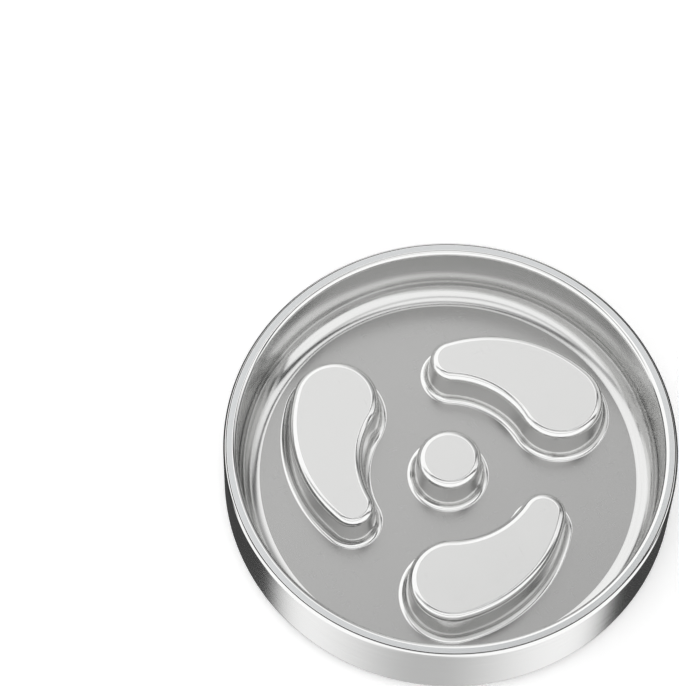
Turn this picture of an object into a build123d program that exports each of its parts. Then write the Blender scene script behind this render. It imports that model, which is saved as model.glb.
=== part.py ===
from build123d import *
from math import atan2, cos, degrees, radians, sin, sqrt, tan
import os

# Double-walled slow feeder bowl: a pressed feeding pan hung in a drawn outer shell, on a rubber ring.
# Millimetres, +Z up. The origin is on the axis, on the surface that the bowl stands on.
# Each bend is given by its smaller radius, and the sheet's other face has the sheet's thickness more.

# Overall
outer_diameter = 220.0
metal_height = 42.5
sheet = 0.8

# Rim of the feeding pan, and the seam where it meets the outer shell
rim_outer_bend = 1.0
rim_flat_width = 2.4
rim_inner_bend = 1.6
rim_skirt = 1.2
seam_chamfer = 0.15

# Feeding pan
floor_clearance = 2.4
wall_draft = 1.5
wall_foot_bend = 10.0
island_drop = 16.0
press_draft = 5.0
press_edge_bend = 3.0
press_foot_bend = 3.0
boss_radius = 15.5

# Comma-shaped islands, seen from above: two round ends joined by two tangent arcs
# The lanes are the widths left for food beside them, at the level of their tops.
island_count = 3
island_start = -90.0
island_sweep = 57.0
inner_lane = 27.3
outer_lane = 18.8
island_outer_arc = 68.6
narrow_end_radius = 10.7

# Outer shell
base_corner_bend = 3.7
base_rim_width = 12.75
channel_depth = 2.0
channel_edge_bend = 0.4
channel_roof_bend = 0.5

# Rubber ring
ring_width = 17.8
ring_clearance = 0.15
ring_edge_break = 0.4
ring_seat_break = 0.8
raised_stand = 3.2
low_stand = 1.4
step_pairs = 9
step_run = 2.4
cutter_overreach = 5.0
cutter_drop = 1.0

# Levels and radii that follow
outer_radius = outer_diameter / 2
base_level = raised_stand
rim_level = base_level + metal_height
seam_level = rim_level - rim_outer_bend - sheet - rim_skirt
channel_level = base_level + channel_depth
floor_level = channel_level + sheet + floor_clearance + sheet
island_level = rim_level - island_drop
mouth_radius = outer_radius - rim_outer_bend - rim_flat_width - rim_inner_bend - 2 * sheet
cavity_radius = (mouth_radius + outer_radius) / 2
island_inner_arc = boss_radius + inner_lane
blunt_end_radius = (mouth_radius - outer_lane - island_inner_arc) / 2
channel_outer_radius = outer_radius - base_rim_width
ring_outer_radius = channel_outer_radius - ring_clearance
ring_inner_radius = ring_outer_radius - ring_width
channel_inner_radius = ring_inner_radius - ring_clearance
level_tolerance = 0.01


def drafted(draft, drop, inset):
    """How far a pressed wall stands out from its top corner, drop below it and inset into the sheet."""
    return drop * tan(radians(draft)) - inset / cos(radians(draft))


def polar(radius, angle):
    return Vector(radius * cos(radians(angle)), radius * sin(radians(angle)))


def heading(start, end):
    return degrees(atan2(end.Y - start.Y, end.X - start.X))


def edges_at(part, level):
    return part.edges().filter_by_position(Axis.Z, level - level_tolerance, level + level_tolerance)


def island_outline(margin):
    """The outline of one island, moved out by margin all round."""
    axis = Vector(0, 0)
    blunt = polar(island_inner_arc + blunt_end_radius, island_start)
    narrow = polar(island_inner_arc + narrow_end_radius, island_start + island_sweep)
    # The outer arc wraps both end circles, so its centre is at a known distance from each of theirs.
    blunt_reach = island_outer_arc - blunt_end_radius
    narrow_reach = island_outer_arc - narrow_end_radius
    span = (narrow - blunt).length
    along = (span**2 + blunt_reach**2 - narrow_reach**2) / (2 * span)
    across = sqrt(blunt_reach**2 - along**2)
    unit = (narrow - blunt).normalized()
    hub = blunt + unit * along + Vector(-unit.Y, unit.X) * across
    # Headings at which the arcs touch the two ends
    blunt_touch = heading(hub, blunt)
    narrow_touch = heading(hub, narrow)
    blunt_inward = heading(blunt, axis)
    narrow_inward = heading(narrow, axis)
    with BuildSketch() as outline:
        with BuildLine():
            CenterArc(hub, island_outer_arc + margin, blunt_touch, (narrow_touch - blunt_touch) % 360)
            CenterArc(narrow, narrow_end_radius + margin, narrow_touch, (narrow_inward - narrow_touch) % 360)
            CenterArc(axis, island_inner_arc - margin, island_start + island_sweep, -island_sweep)
            CenterArc(blunt, blunt_end_radius + margin, blunt_inward, (blunt_touch - blunt_inward) % 360)
        make_face()
    return outline.sketch


def pressed_island(inset):
    """One island as a solid that stands on the pan's floor, with its top edge rounded."""
    floor = floor_level - inset
    height = island_level - floor_level
    with BuildPart(mode=Mode.PRIVATE) as island:
        with BuildSketch(Plane.XY.offset(floor)):
            add(island_outline(drafted(press_draft, height + inset, inset)))
        extrude(amount=height, taper=press_draft)
        fillet(island.faces().sort_by(Axis.Z)[-1].edges(), press_edge_bend + sheet - inset)
    return island.part


def pan_form(inset):
    """All that lies under the pan's food side, or under its underside when inset is the sheet."""
    left = sheet - inset
    top = rim_level - inset
    floor = floor_level - inset
    boss_top = island_level - inset
    boss_foot = boss_radius + drafted(press_draft, island_level - floor, inset)
    mouth = mouth_radius - drafted(wall_draft, inset, inset)
    wall_foot = mouth_radius - drafted(wall_draft, rim_level - floor, inset)
    with BuildPart() as form:
        with BuildSketch(Plane.XZ):
            with BuildLine():
                FilletPolyline(
                    (0, boss_top),
                    (boss_radius + drafted(press_draft, inset, inset), boss_top),
                    (boss_foot, floor),
                    (wall_foot, floor),
                    (mouth, top),
                    (outer_radius - inset, top),
                    (outer_radius - inset, seam_level),
                    radius=[
                        press_edge_bend + left,
                        press_foot_bend + inset,
                        wall_foot_bend + inset,
                        rim_inner_bend + left,
                        rim_outer_bend + left,
                    ],
                )
                Polyline(
                    (outer_radius - inset, seam_level),
                    (cavity_radius, seam_level),
                    (cavity_radius, base_level),
                    (0, base_level),
                    (0, boss_top),
                )
            make_face()
        revolve(axis=Axis.Z)
        with PolarLocations(0, island_count):
            add(pressed_island(inset))
        # The floor is the face with the most openings, and the boss's foot is its only one of a single edge.
        floor_face = form.faces().sort_by(lambda face: len(face.inner_wires()))[-1]
        feet = [wire for wire in floor_face.inner_wires() if len(wire.edges()) > 1]
        fillet([edge for wire in feet for edge in wire.edges()], press_foot_bend + inset)
    return form.part


def shell_form(inset):
    """The solid disc that the outer shell wraps, or its hollow inside when inset is the sheet."""
    left = sheet - inset
    base = base_level + inset
    roof = channel_level + inset
    side = outer_radius - inset
    with BuildPart() as form:
        with BuildSketch(Plane.XZ):
            with BuildLine():
                FilletPolyline(
                    (0, base),
                    (channel_inner_radius - inset, base),
                    (channel_inner_radius - inset, roof),
                    (channel_outer_radius + inset, roof),
                    (channel_outer_radius + inset, base),
                    (side, base),
                    (side, seam_level),
                    radius=[
                        channel_edge_bend + left,
                        channel_roof_bend + inset,
                        channel_roof_bend + inset,
                        channel_edge_bend + left,
                        base_corner_bend + left,
                    ],
                )
                Polyline((side, seam_level), (0, seam_level), (0, base))
            make_face()
        revolve(axis=Axis.Z)
    return form.part


def break_seam(part):
    """Takes the sharp outer corner off a sheet's edge at the seam."""
    return chamfer(edges_at(part, seam_level).sort_by(Edge.length)[-1], seam_chamfer)


def feeding_pan():
    return break_seam(pan_form(0) - pan_form(sheet))


def outer_shell():
    return break_seam(shell_form(0) - shell_form(sheet))


def low_gap():
    """What is taken away between two raised blocks: flat roofed, with a slope up each block's end."""
    half_pitch = radians(360 / step_pairs / 4)
    lead = raised_stand - low_stand
    spread = step_run * cutter_drop / lead
    with BuildPart() as gap:
        for reach in (ring_inner_radius - cutter_overreach, ring_outer_radius + cutter_overreach):
            middle = reach * tan(half_pitch)
            roof_end = middle - step_run / 2
            foot_end = middle + step_run / 2 + spread
            with BuildSketch(Plane.YZ.offset(reach)):
                with BuildLine():
                    Polyline(
                        (roof_end, lead),
                        (-roof_end, lead),
                        (-foot_end, -cutter_drop),
                        (foot_end, -cutter_drop),
                        close=True,
                    )
                make_face()
        loft(ruled=True)
    return gap.part


def anti_slip_ring():
    with BuildPart() as ring:
        with BuildSketch(Plane.XZ):
            with Locations((ring_inner_radius, 0)):
                Rectangle(ring_width, channel_level, align=(Align.MIN, Align.MIN))
        revolve(axis=Axis.Z)
        with PolarLocations(0, step_pairs):
            add(low_gap(), mode=Mode.SUBTRACT)
        chamfer(edges_at(ring, channel_level), ring_seat_break)
        tread_edges = ring.edges().filter_by_position(Axis.Z, 0, base_level)
        chamfer(tread_edges, ring_edge_break)
    return ring.part


def export(part, name):
    os.makedirs("parts", exist_ok=True)
    export_step(part, f"parts/{name}.step")


export(outer_shell(), "outer_shell")
export(feeding_pan(), "feeding_pan")
export(anti_slip_ring(), "anti_slip_ring")
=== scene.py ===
from math import atan2, cos, pi, radians, sin, sqrt, tan

import bpy
import numpy as np
from mathutils import Matrix, Vector
from mathutils.geometry import tessellate_polygon


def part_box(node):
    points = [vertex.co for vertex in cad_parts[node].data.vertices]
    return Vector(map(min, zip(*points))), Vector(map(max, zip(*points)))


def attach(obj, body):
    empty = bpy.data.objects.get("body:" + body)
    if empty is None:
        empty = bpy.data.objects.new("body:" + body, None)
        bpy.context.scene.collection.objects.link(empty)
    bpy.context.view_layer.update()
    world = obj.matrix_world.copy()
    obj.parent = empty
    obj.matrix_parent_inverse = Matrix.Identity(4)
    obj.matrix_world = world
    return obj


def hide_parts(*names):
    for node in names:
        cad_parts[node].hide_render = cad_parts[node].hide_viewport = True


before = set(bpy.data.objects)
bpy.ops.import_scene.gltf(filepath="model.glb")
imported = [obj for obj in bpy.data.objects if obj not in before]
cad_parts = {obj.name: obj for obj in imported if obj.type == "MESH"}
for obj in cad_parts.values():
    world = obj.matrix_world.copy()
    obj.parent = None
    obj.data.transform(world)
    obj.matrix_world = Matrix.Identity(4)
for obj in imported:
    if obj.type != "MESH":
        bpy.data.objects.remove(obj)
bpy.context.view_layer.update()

# Slow feeder dog bowl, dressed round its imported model. Metres, +Z up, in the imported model's frame.

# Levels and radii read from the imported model
shell_low, shell_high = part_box("outer_shell")
pan_low, pan_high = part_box("feeding_pan")
ring_low, ring_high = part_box("anti_slip_ring")
outer_radius = shell_high.x
base_level = shell_low.z
seam_level = shell_high.z
rim_level = pan_high.z
channel_level = ring_high.z
ring_outer_radius = ring_high.x

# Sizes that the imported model's boxes don't give
MM = 0.001
sheet = 0.8 * MM
rim_outer_bend = 1.0 * MM
rim_flat_width = 2.4 * MM
rim_inner_bend = 1.6 * MM
rim_line_depth = 0.2 * MM
wall_draft = radians(1.5)
wall_foot_bend = 10.0 * MM
island_drop = 16.0 * MM
press_draft = radians(5.0)
press_edge_bend = 3.0 * MM
press_foot_bend = 3.0 * MM
boss_radius = 15.5 * MM
island_count = 3
island_start = radians(-90.0)
island_sweep = radians(57.0)
inner_lane = 27.3 * MM
outer_lane = 18.8 * MM
island_outer_arc = 68.6 * MM
narrow_end_radius = 10.7 * MM
base_corner_bend = 3.7 * MM
channel_edge_bend = 0.4 * MM
channel_roof_bend = 0.5 * MM
ring_width = 17.8 * MM
ring_clearance = 0.15 * MM

# Levels and radii that follow
floor_level = pan_low.z + sheet
island_level = rim_level - island_drop
mouth_radius = outer_radius - rim_outer_bend - rim_flat_width - rim_inner_bend - 2 * sheet
island_inner_arc = boss_radius + inner_lane
blunt_end_radius = (mouth_radius - outer_lane - island_inner_arc) / 2
channel_outer_radius = ring_outer_radius + ring_clearance
channel_inner_radius = ring_outer_radius - ring_width - ring_clearance

# Fineness of the meshes
turns = 360
bend_steps = 14
outline_step = 1.0 * MM
fewest_arc_steps = 8
welds_per_metre = 1e7


# Outlines

def straight_path(corners):
    """The straight stretches from corner to corner, in the form that bent_path gives."""
    stretches = []
    for start, end in zip(corners, corners[1:]):
        away = (Vector(end) - Vector(start)).normalized()
        normal = Vector((away.y, -away.x))
        stretches.append([(Vector(start), normal), (Vector(end), normal)])
    return stretches


def bent_path(corners, bends):
    """The path through the corners as a list of stretches, straight and bent by turns.

    A stretch is a list of (point, normal), and the normal points to the right of the way along the path.
    """
    corners = [Vector(corner) for corner in corners]
    stretches = []
    start = corners[0]
    for before, corner, after, bend in zip(corners, corners[1:], corners[2:], bends):
        to = (corner - before).normalized()
        away = (after - corner).normalized()
        turn = atan2(to.x * away.y - to.y * away.x, to.dot(away))
        reach = bend * tan(abs(turn) / 2)
        enter = corner - to * reach
        normal = Vector((to.y, -to.x))
        side = 1 if turn > 0 else -1
        centre = enter - side * bend * normal
        arc = [(enter, normal)]
        for step in range(1, bend_steps + 1):
            turned = Matrix.Rotation(turn * step / bend_steps, 2) @ normal
            arc.append((centre + side * bend * turned, turned))
        stretches += [[(start, normal), (enter, normal)], arc]
        start = arc[-1][0]
    return stretches + straight_path([start, corners[-1]])


def scored(arc):
    """A bend with a fine V-shaped line turned into it, just before its end."""
    start, middle, end = arc[-4:-1]
    line = straight_path([start[0], middle[0] - middle[1] * rim_line_depth, end[0]])
    return [arc[:-3], *line, arc[-2:]]


def drafted(draft, drop, inset):
    """How far a pressed wall stands out from its top corner, drop below it and inset into the sheet."""
    return drop * tan(draft) - inset / cos(draft)


def circle_outline():
    """The axis as an outline: moved out by a margin, it's a circle of that radius."""
    angles = np.arange(turns) * 2 * pi / turns
    outward = np.stack([np.cos(angles), np.sin(angles)], 1)
    return np.zeros((turns, 2)), outward


def moved(outline, margin):
    """The points of an outline, moved out by a margin."""
    points, outward = outline
    return points + margin * outward


def polar(radius, angle):
    return Vector((radius * cos(angle), radius * sin(angle)))


def heading(start, end):
    return atan2(end.y - start.y, end.x - start.x)


def island_outline(turn):
    """Points round one island at the level of its sharp top corner, and the outward direction at each."""
    axis = Vector((0, 0))
    blunt = polar(island_inner_arc + blunt_end_radius, island_start)
    narrow = polar(island_inner_arc + narrow_end_radius, island_start + island_sweep)
    blunt_reach = island_outer_arc - blunt_end_radius
    narrow_reach = island_outer_arc - narrow_end_radius
    span = (narrow - blunt).length
    along = (span**2 + blunt_reach**2 - narrow_reach**2) / (2 * span)
    across = sqrt(blunt_reach**2 - along**2)
    unit = (narrow - blunt).normalized()
    hub = blunt + unit * along + Vector((-unit.y, unit.x)) * across
    blunt_touch = heading(hub, blunt)
    narrow_touch = heading(hub, narrow)
    blunt_inward = heading(blunt, axis)
    narrow_inward = heading(narrow, axis)
    arcs = [
        (hub, island_outer_arc, blunt_touch, (narrow_touch - blunt_touch) % (2 * pi)),
        (narrow, narrow_end_radius, narrow_touch, (narrow_inward - narrow_touch) % (2 * pi)),
        (axis, -island_inner_arc, island_start + island_sweep, -island_sweep),
        (blunt, blunt_end_radius, blunt_inward, (blunt_touch - blunt_inward) % (2 * pi)),
    ]
    points, outward = [], []
    for centre, radius, start, size in arcs:
        count = max(fewest_arc_steps, round(abs(radius * size) / outline_step))
        for step in range(count):
            angle = start + size * step / count + turn
            away = Vector((cos(angle), sin(angle)))
            points.append(Matrix.Rotation(turn, 2) @ centre + abs(radius) * away)
            outward.append(away if radius > 0 else -away)
    return np.array(points), np.array(outward)


# Meshes

class Skin:
    """Gathers faces, each with the true normal of the surface at its corners and its own finish."""

    def __init__(self):
        self.corners, self.normals, self.faces, self.finishes = [], [], [], []

    def face(self, points, normals, finish, outside=1):
        """Adds one face, turned over where outside is -1."""
        order = range(len(points)) if outside > 0 else range(len(points) - 1, -1, -1)
        start = len(self.corners)
        for corner in order:
            self.corners.append(points[corner])
            self.normals.append(normals[corner] * outside)
        self.faces.append(range(start, start + len(points)))
        self.finishes.append(finish)

    def band(self, outline, stretch, finish, outside=1):
        """The surface that a stretch of (margin, level) sweeps round an outline."""
        points, outward = outline
        rings, slopes = [], []
        for (margin, level), normal in stretch:
            flat = points + margin * outward
            rings.append(np.column_stack([flat, np.full(len(flat), level)]))
            slopes.append(np.column_stack([normal.x * outward, np.full(len(flat), normal.y)]))
        for row in range(len(rings) - 1):
            for column in range(len(points)):
                beside = (column + 1) % len(points)
                spots = [(row, column), (row, beside), (row + 1, beside), (row + 1, column)]
                places = [rings[across][along] for across, along in spots]
                normals = [slopes[across][along] for across, along in spots]
                self.face(places, normals, finish, outside)

    def flat(self, loops, level, finish, outside=1):
        """A level face inside the first loop and outside the rest."""
        spots = [np.array([x, y, level]) for loop in loops for x, y in loop]
        chains = [[Vector((x, y, level)) for x, y in loop] for loop in loops]
        up = np.array([0.0, 0.0, 1.0])
        for a, b, c in tessellate_polygon(chains):
            if np.cross(spots[b] - spots[a], spots[c] - spots[a])[2] < 0:
                b, c = c, b
            self.face([spots[a], spots[b], spots[c]], [up] * 3, finish, outside)

    def piece(self, name, slot):
        """Makes the mesh, joins the corners that share a place, and lets it ride on the body."""
        corners = np.array(self.corners)
        cells = np.round(corners * welds_per_metre)
        _, first, shared = np.unique(cells, axis=0, return_index=True, return_inverse=True)
        shared = shared.reshape(-1)
        faces = [[int(shared[corner]) for corner in face] for face in self.faces]
        mesh = bpy.data.meshes.new(name)
        mesh.from_pydata(corners[first].tolist(), [], faces)
        numbers = {}
        for finish in self.finishes:
            if finish not in numbers:
                numbers[finish] = len(numbers)
                mesh.materials.append(finish)
        mesh.polygons.foreach_set("material_index", [numbers[finish] for finish in self.finishes])
        mesh.polygons.foreach_set("use_smooth", [True] * len(self.faces))
        mesh.normals_split_custom_set([tuple(normal) for normal in self.normals])
        piece = bpy.data.objects.new(name, mesh)
        bpy.context.scene.collection.objects.link(piece)
        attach(piece, "root")
        return piece


# Pieces

def pressed_side(inset):
    """The drafted side of an island or the boss, from the bend at its foot to its top bend."""
    floor = floor_level - inset
    top = island_level - inset
    foot_margin = drafted(press_draft, island_level - floor, inset)
    top_margin = drafted(press_draft, inset, inset)
    # The path starts and ends level, with room for its two bends.
    beyond = boss_radius
    corners = [
        (foot_margin + beyond, floor),
        (foot_margin, floor),
        (top_margin, top),
        (top_margin - beyond, top),
    ]
    bends = [press_foot_bend + inset, press_edge_bend + sheet - inset]
    return bent_path(corners, bends)[1:-1]


def pan_side(skin, inset, outside):
    """One side of the feeding pan: the food side at inset 0, and the underside at the sheet's thickness."""
    side = pressed_side(inset)
    foot_margin = side[0][0][0].x
    top_margin = side[-1][-1][0].x
    circle = circle_outline()
    to_boss = Vector((boss_radius, 0))
    boss_side = [[(point + to_boss, normal) for point, normal in stretch] for stretch in side]
    floor = floor_level - inset
    top = island_level - inset
    rim = rim_level - inset
    edge = outer_radius - inset
    mouth = mouth_radius - drafted(wall_draft, inset, inset)
    wall_foot = mouth_radius - drafted(wall_draft, rim_level - floor, inset)
    inward = wall_foot - 2 * wall_foot_bend
    corners = [(edge, seam_level), (edge, rim), (mouth, rim), (wall_foot, floor), (inward, floor)]
    bends = [rim_outer_bend + sheet - inset, rim_inner_bend + sheet - inset, wall_foot_bend + inset]
    wall = bent_path(corners, bends)[:-1]
    floor_radius = wall[-1][-1][0].x
    finishes = [wall_brushed, rim_polish, rim_brushed, rim_polish, inner_wall, inner_wall]
    if not inset:
        wall[1:2] = scored(wall[1])
        # The groove's two faces take the near-black painted shade
        finishes[1:2] = [rim_polish, rim_groove_painted_shade, rim_groove_painted_shade, rim_polish]
    for stretch, finish in zip(wall, finishes):
        skin.band(circle, stretch, finish, outside)
    holes = [moved(circle, boss_radius + foot_margin)]
    for stretch in boss_side:
        skin.band(circle, stretch, pressed_satin, outside)
    skin.flat([moved(circle, boss_radius + top_margin)], top, top_satin, outside)
    for number in range(island_count):
        outline = island_outline(number * 2 * pi / island_count)
        for stretch in side:
            skin.band(outline, stretch, pressed_satin, outside)
        skin.flat([moved(outline, top_margin)], top, top_satin, outside)
        holes.append(moved(outline, foot_margin))
    # The pan floor takes the darker satin, whose darkness is painted shade
    skin.flat([moved(circle, floor_radius), *holes], floor, floor_satin_painted_shade, outside)


def seam_edge(skin, finish, outside):
    """The sheet's edge at the seam: it looks down where outside is 1, and up where it's -1."""
    edge = straight_path([(outer_radius - sheet, seam_level), (outer_radius, seam_level)])
    skin.band(circle_outline(), edge[0], finish, outside)


def feeding_pan():
    skin = Skin()
    pan_side(skin, inset=0, outside=1)
    pan_side(skin, inset=sheet, outside=-1)
    seam_edge(skin, rim_polish, outside=1)
    piece = skin.piece("feeding_pan_steel", "polished_pan")
    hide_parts("feeding_pan")


def shell_side(skin, inset, outside):
    """One side of the outer shell: the outside at inset 0, and the inside at the sheet's thickness."""
    base = base_level + inset
    roof = channel_level + inset
    edge = outer_radius - inset
    left = sheet - inset
    corners = [
        (0, base),
        (channel_inner_radius - inset, base),
        (channel_inner_radius - inset, roof),
        (channel_outer_radius + inset, roof),
        (channel_outer_radius + inset, base),
        (edge, base),
        (edge, seam_level),
    ]
    bends = [
        channel_edge_bend + left,
        channel_roof_bend + inset,
        channel_roof_bend + inset,
        channel_edge_bend + left,
        base_corner_bend + left,
    ]
    disc, *path = bent_path(corners, bends)
    disc_radius = disc[-1][0].x
    channel_stretches = 7
    finishes = [base_polish] * channel_stretches + [base_satin, base_polish, wall_brushed]
    circle = circle_outline()
    skin.flat([moved(circle, disc_radius)], base, base_lathed, -outside)
    for stretch, finish in zip(path, finishes):
        skin.band(circle, stretch, finish, outside)


def outer_shell():
    skin = Skin()
    shell_side(skin, inset=0, outside=1)
    shell_side(skin, inset=sheet, outside=-1)
    seam_edge(skin, base_polish, outside=-1)
    piece = skin.piece("outer_shell_steel", "brushed_wall")
    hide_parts("outer_shell")


def rubber_ring():
    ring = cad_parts["anti_slip_ring"]
    ring.data.materials.clear()
    ring.data.materials.append(ring_rubber)


# Finishes

class Finish:
    """A metal or rubber in the making. Its details are measured in millimetres."""

    def __init__(self, name, colour, roughness, metallic=1.0, brushing=0.0):
        self.material = bpy.data.materials.new(name)
        self.material.use_nodes = True
        self.nodes = self.material.node_tree.nodes
        self.links = self.material.node_tree.links
        self.shader = self.nodes["Principled BSDF"]
        self.shader.inputs["Metallic"].default_value = metallic
        self.colour = colour
        self.tint, self.roughness, self.height = 1.0, roughness, 0.0
        metres = self.node("TexCoord").outputs["Object"]
        place = self.node("VectorMath", operation="SCALE")
        place.inputs["Scale"].default_value = 1 / MM
        self.links.new(metres, place.inputs[0])
        self.place = place.outputs["Vector"]
        if brushing:
            self.brush_round(brushing)

    def node(self, kind, **settings):
        node = self.nodes.new("ShaderNode" + kind)
        for name, value in settings.items():
            setattr(node, name, value)
        return node

    def put(self, value, socket):
        if isinstance(value, bpy.types.NodeSocket):
            self.links.new(value, socket)
        else:
            socket.default_value = value

    def math(self, operation, *values):
        node = self.node("Math", operation=operation)
        for value, socket in zip(values, node.inputs):
            self.put(value, socket)
        return node.outputs[0]

    def brush_round(self, amount):
        """Brush lines run round the axis, so highlights stretch across them."""
        quarter_turn = 0.25
        tangent = self.node("Tangent", direction_type="RADIAL", axis="Z")
        self.links.new(tangent.outputs[0], self.shader.inputs["Tangent"])
        self.shader.inputs["Anisotropic"].default_value = amount
        self.shader.inputs["Anisotropic Rotation"].default_value = quarter_turn

    def noise(self, place, detail=2.0, depth=0.0):
        """Noise from 0 to 1 with cells about 1 across, where depth is the fourth coordinate."""
        noise = self.node("TexNoise", noise_dimensions="4D")
        noise.inputs["Scale"].default_value = 1
        noise.inputs["Detail"].default_value = detail
        self.put(place, noise.inputs["Vector"])
        self.put(depth, noise.inputs["W"])
        return noise.outputs["Fac"]

    def grain(self, size, detail=2.0):
        """Noise that is the same in all directions."""
        scaled = self.node("VectorMath", operation="SCALE")
        self.links.new(self.place, scaled.inputs[0])
        scaled.inputs["Scale"].default_value = 1 / size
        return self.noise(scaled.outputs["Vector"], detail)

    def turned(self, length, width, detail=2.0):
        """Streaks that run round the axis."""
        split = self.node("SeparateXYZ")
        self.links.new(self.place, split.inputs[0])
        x, y, z = split.outputs
        radius = self.math("SQRT", self.math("MULTIPLY_ADD", x, x, self.math("MULTIPLY", y, y)))
        along = self.math("DIVIDE", outer_radius / MM / length, radius)
        spot = self.node("CombineXYZ")
        self.put(self.math("MULTIPLY", x, along), spot.inputs["X"])
        self.put(self.math("MULTIPLY", y, along), spot.inputs["Y"])
        self.put(self.math("DIVIDE", z, width), spot.inputs["Z"])
        return self.noise(spot.outputs[0], detail, self.math("DIVIDE", radius, width))

    def hairlines(self, angle, length, width, share):
        """Sparse straight scratches that run at an angle to +X: 1 on a line and 0 off it."""
        turned = self.node("VectorRotate", rotation_type="Z_AXIS")
        self.links.new(self.place, turned.inputs["Vector"])
        turned.inputs["Angle"].default_value = -angle
        spot = self.node("VectorMath", operation="DIVIDE")
        self.links.new(turned.outputs[0], spot.inputs[0])
        spot.inputs[1].default_value = (length, width, length)
        soft_edge = 0.05
        cut = self.node("MapRange", interpolation_type="SMOOTHSTEP")
        cut.inputs["From Min"].default_value = 1 - share
        cut.inputs["From Max"].default_value = 1 - share + soft_edge
        self.links.new(self.noise(spot.outputs[0], detail=0.0), cut.inputs["Value"])
        return cut.outputs["Result"]

    def add(self, amount, middle=0.5, tint=0.0, roughness=0.0, height=0.0):
        """Lets a detail change the tint, roughness and height, each by how far it is from its middle."""
        amount = self.math("SUBTRACT", amount, middle)
        if tint:
            self.tint = self.math("MULTIPLY_ADD", amount, tint, self.tint)
        if roughness:
            self.roughness = self.math("MULTIPLY_ADD", amount, roughness, self.roughness)
        if height:
            self.height = self.math("MULTIPLY_ADD", amount, height, self.height)

    def done(self):
        shaded = self.node("VectorMath", operation="SCALE")
        shaded.inputs[0].default_value = self.colour
        self.put(self.tint, shaded.inputs["Scale"])
        self.links.new(shaded.outputs["Vector"], self.shader.inputs["Base Color"])
        self.put(self.roughness, self.shader.inputs["Roughness"])
        bump = self.node("Bump")
        bump.inputs["Distance"].default_value = MM
        self.put(self.height, bump.inputs["Height"])
        self.links.new(bump.outputs[0], self.shader.inputs["Normal"])
        return self.material


def satin(name, colour, roughness):
    """Pressed steel with a fine even grain, faint cloudy patches and a few hairlines from use."""
    finish = Finish(name, colour, roughness)
    finish.add(finish.grain(size=0.4), roughness=0.08, height=0.0008)
    finish.add(finish.grain(size=20.0), tint=0.03, roughness=0.05)
    for angle in (25, -65):
        lines = finish.hairlines(radians(angle), length=8.0, width=0.3, share=0.24)
        finish.add(lines, middle=0, roughness=0.1, height=-0.001)
    return finish.done()


def brushed(name, colour, roughness, brushing, length, width, depth):
    """Steel with brush lines round the axis, fine ones on top of broad ones."""
    finish = Finish(name, colour, roughness, brushing=brushing)
    finish.add(finish.turned(length, width), tint=0.14, roughness=0.12, height=depth)
    broad_length, broad_width = 3 * length, 4 * width
    finish.add(finish.turned(broad_length, broad_width), tint=0.1, roughness=0.06, height=depth)
    finish.add(finish.grain(size=30.0), tint=0.02, roughness=0.03)
    return finish.done()


def polished(name, colour, roughness):
    """Bright steel with faint traces of the polishing wheel, and a few hairlines."""
    finish = Finish(name, colour, roughness)
    finish.add(finish.turned(length=50.0, width=0.6), tint=0.02, roughness=0.04, height=0.0005)
    finish.add(finish.grain(size=14.0), tint=0.02, roughness=0.03)
    lines = finish.hairlines(radians(10), length=10.0, width=0.3, share=0.22)
    finish.add(lines, middle=0, roughness=0.08)
    return finish.done()


def moulded_rubber(name, colour):
    """Dark rubber with the fine grain of its mould, and paler where it has been rubbed."""
    finish = Finish(name, colour, roughness=0.6, metallic=0.0)
    finish.add(finish.grain(size=0.5, detail=4.0), tint=0.25, roughness=0.2, height=0.04)
    finish.add(finish.grain(size=9.0), tint=0.12, roughness=0.1)
    finish.add(finish.turned(length=16.0, width=0.5), tint=0.08, roughness=0.05)
    return finish.done()


top_satin = satin("top_satin", (0.605, 0.605, 0.6), roughness=0.17)
# Darker than the island tops: the pan floor's lower tone is painted shade, down between the walls and
# islands
floor_satin_painted_shade = satin("floor_satin_painted_shade", (0.41, 0.41, 0.405), roughness=0.25)
pressed_satin = satin("pressed_satin", (0.78, 0.78, 0.775), roughness=0.14)
inner_wall = brushed(
    "inner_wall", (0.68, 0.68, 0.675),
    roughness=0.16, brushing=0.4, length=30.0, width=0.5, depth=0.001,
)
rim_polish = polished("rim_polish", (0.78, 0.78, 0.775), roughness=0.05)
rim_brushed = brushed(
    "rim_brushed", (0.535, 0.545, 0.55),
    roughness=0.16, brushing=0.5, length=12.0, width=0.25, depth=0.003,
)
# The scored line's near-black colour is painted shade: it stands for the dark inside the groove in the rim
# bend
rim_groove_painted_shade = polished("rim_groove_painted_shade", (0.05, 0.05, 0.05), roughness=0.35)
wall_brushed = brushed(
    "wall_brushed", (0.74, 0.74, 0.735),
    roughness=0.2, brushing=0.6, length=22.0, width=0.4, depth=0.006,
)
base_polish = polished("base_polish", (0.76, 0.76, 0.755), roughness=0.07)
base_satin = brushed(
    "base_satin", (0.72, 0.72, 0.715),
    roughness=0.25, brushing=0.4, length=25.0, width=0.4, depth=0.002,
)
base_lathed = brushed(
    "base_lathed", (0.72, 0.72, 0.715),
    roughness=0.26, brushing=0.75, length=90.0, width=0.5, depth=0.02,
)
ring_rubber = moulded_rubber("ring_rubber", (0.05, 0.051, 0.053))


def floor_white():
    """A plain floor that the camera sees as white, with the bowl's shadow on it."""
    seen_lift = 0.5
    finish = Finish("studio_floor_white", (0.85, 0.85, 0.85), roughness=0.9, metallic=0.0)
    seen = finish.node("LightPath").outputs["Is Camera Ray"]
    finish.tint = finish.math("MULTIPLY_ADD", seen, seen_lift, finish.tint)
    return finish.done()


# Studio

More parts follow.
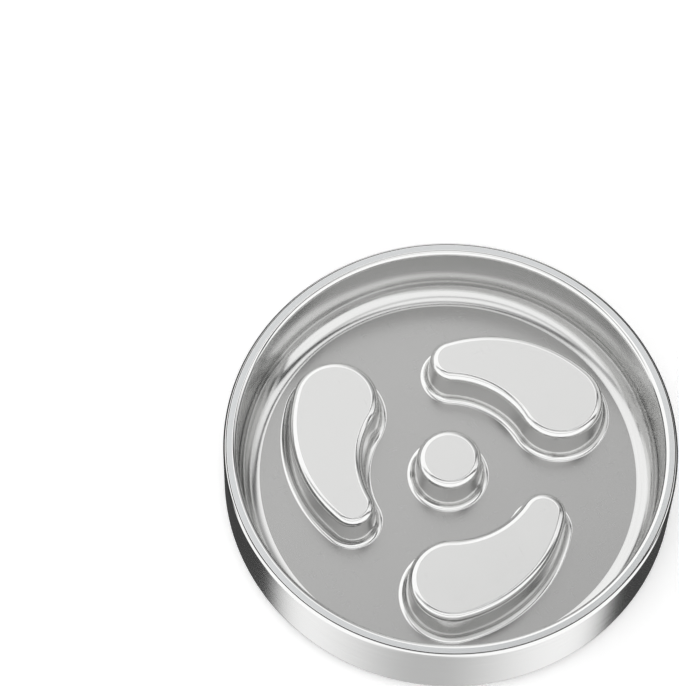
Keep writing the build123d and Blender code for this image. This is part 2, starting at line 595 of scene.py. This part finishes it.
class Sky:
    """The light that comes from each direction, as a base level with shaded places in it."""

    def __init__(self, base):
        world = bpy.data.worlds.new("studio")
        bpy.context.scene.world = world
        world.use_nodes = True
        self.nodes, self.links = world.node_tree.nodes, world.node_tree.links
        self.background = self.nodes["Background"]
        self.direction = self.nodes.new("ShaderNodeTexCoord").outputs["Generated"]
        level = self.nodes.new("ShaderNodeValue")
        level.outputs[0].default_value = base
        self.light = level.outputs[0]

    def near(self, pole, ring, inner, outer):
        """1 within inner degrees of the circle ring degrees from a pole, 0 beyond outer, smooth between.

        The pole is an azimuth from +X and an elevation, and a ring of 0 is the pole itself.
        """
        azimuth, elevation = (radians(angle) for angle in pole)
        dot = self.nodes.new("ShaderNodeVectorMath")
        dot.operation = "DOT_PRODUCT"
        flat = cos(elevation)
        dot.inputs[1].default_value = (cos(azimuth) * flat, sin(azimuth) * flat, sin(elevation))
        self.links.new(self.direction, dot.inputs[0])
        apart = self.math("ARCCOSINE", dot.outputs["Value"])
        distance = self.math("ABSOLUTE", self.math("SUBTRACT", apart, radians(ring)))
        edge = self.nodes.new("ShaderNodeMapRange")
        edge.interpolation_type = "SMOOTHSTEP"
        edge.inputs["From Min"].default_value = radians(outer)
        edge.inputs["From Max"].default_value = radians(inner)
        self.links.new(distance, edge.inputs["Value"])
        return edge.outputs["Result"]

    def math(self, operation, *values):
        node = self.nodes.new("ShaderNodeMath")
        node.operation = operation
        for value, socket in zip(values, node.inputs):
            if isinstance(value, bpy.types.NodeSocket):
                self.links.new(value, socket)
            else:
                socket.default_value = value
        return node.outputs[0]

    def shade(self, light, pole, inner, outer, ring=0, within=None):
        """Brings one place to its own light, within a disc given by its pole, inner and outer."""
        share = self.near(pole, ring, inner, outer)
        if within:
            share = self.math("MULTIPLY", share, self.near(within[0], 0, *within[1:]))
        mix = self.nodes.new("ShaderNodeMix")
        self.links.new(share, mix.inputs["Factor"])
        self.links.new(self.light, mix.inputs["A"])
        mix.inputs["B"].default_value = light
        self.light = mix.outputs["Result"]

    def show(self, light):
        """Lights the scene, while the camera itself sees one plain light behind the object."""
        seen = self.nodes.new("ShaderNodeLightPath")
        mix = self.nodes.new("ShaderNodeMix")
        self.links.new(seen.outputs["Is Camera Ray"], mix.inputs["Factor"])
        self.links.new(self.light, mix.inputs["A"])
        mix.inputs["B"].default_value = light
        self.links.new(mix.outputs["Result"], self.background.inputs["Strength"])
        self.background.inputs["Color"].default_value = (1, 1, 1, 1)


def light_studio():
    """A white tent with the gaps and dark edges that polished steel shows in its bends."""
    tent, dark = 1.25, 0.05
    up, down = (0, 90), (0, -90)
    sky = Sky(tent)
    # A soft grey place behind at the right
    sky.shade(0.45, pole=(50, 25), inner=12, outer=42)
    # The half of the tent behind is dark, up to about 20 degrees above the horizon
    sky.shade(dark, pole=(86.5, 0), inner=85, outer=93, within=(down, 107, 114))
    # Below, all is dark but a wide round place towards the front
    sky.shade(dark, pole=(-93.3, -45), ring=90, inner=37.4, outer=39.4, within=(down, 40, 60))
    # A soft light in the middle of the dark half
    sky.shade(1.1, pole=(88, -8), inner=12, outer=34)
    # An upright soft grey band through the round place in front
    sky.shade(0.62, pole=(-8, 0), ring=90, inner=2, outer=26, within=((-98, -45), 40, 60))
    # A narrow pale grey arc high in front
    sky.shade(0.75, pole=up, ring=29.5, inner=3, outer=6, within=((-90, 50), 35, 60))
    # A grey band overhead from left to right, dark towards its right end
    sky.shade(0.5, pole=(88, 0), ring=90, inner=3.5, outer=6, within=(up, 40, 60))
    sky.shade(dark, pole=(88, 0), ring=90, inner=3, outer=6, within=((0, 50), 20, 34))
    # A thin dark gap from overhead down towards the right
    sky.shade(dark, pole=(-59, 16.4), ring=84.5, inner=2, outer=4, within=((-20, 65), 35, 55))
    sky.show(1)


def lay_floor():
    """A wide white floor, which isn't seen in the steel."""
    reach = 3.0
    mesh = bpy.data.meshes.new("studio_floor")
    corners = [(-reach, -reach, 0), (reach, -reach, 0), (reach, reach, 0), (-reach, reach, 0)]
    mesh.from_pydata(corners, [], [(0, 1, 2, 3)])
    floor = bpy.data.objects.new("studio_floor", mesh)
    bpy.context.scene.collection.objects.link(floor)
    mesh.materials.append(floor_white())
    floor.visible_glossy = False


# Camera

def set_camera():
    """The photograph's own view of the bowl."""
    image_width, image_height = 679, 686
    sensor = 36.0
    focal_pixels = 3717.5
    tilt = radians(-26.06)
    roll = radians(-1.36)
    turn = radians(1.84)
    offset = Vector((53.33, -67.43, -1834.8)) * MM
    tipped = Matrix.Rotation(roll, 3, "Z") @ Matrix.Rotation(tilt, 3, "X")
    to_camera = tipped @ Matrix.Rotation(turn, 3, "Z")
    data = bpy.data.cameras.new("photo_camera")
    camera = bpy.data.objects.new("photo_camera", data)
    bpy.context.scene.collection.objects.link(camera)
    data.sensor_width = sensor
    data.lens = focal_pixels * sensor / max(image_width, image_height)
    data.clip_start = 0.01
    data.clip_end = 100
    back = to_camera.transposed()
    camera.matrix_world = Matrix.Translation(Vector((0, 0, base_level)) - back @ offset) @ back.to_4x4()
    bpy.context.scene.camera = camera


feeding_pan()
outer_shell()
rubber_ring()
light_studio()
lay_floor()
set_camera()
bpy.context.scene.view_settings.view_transform = "Standard"
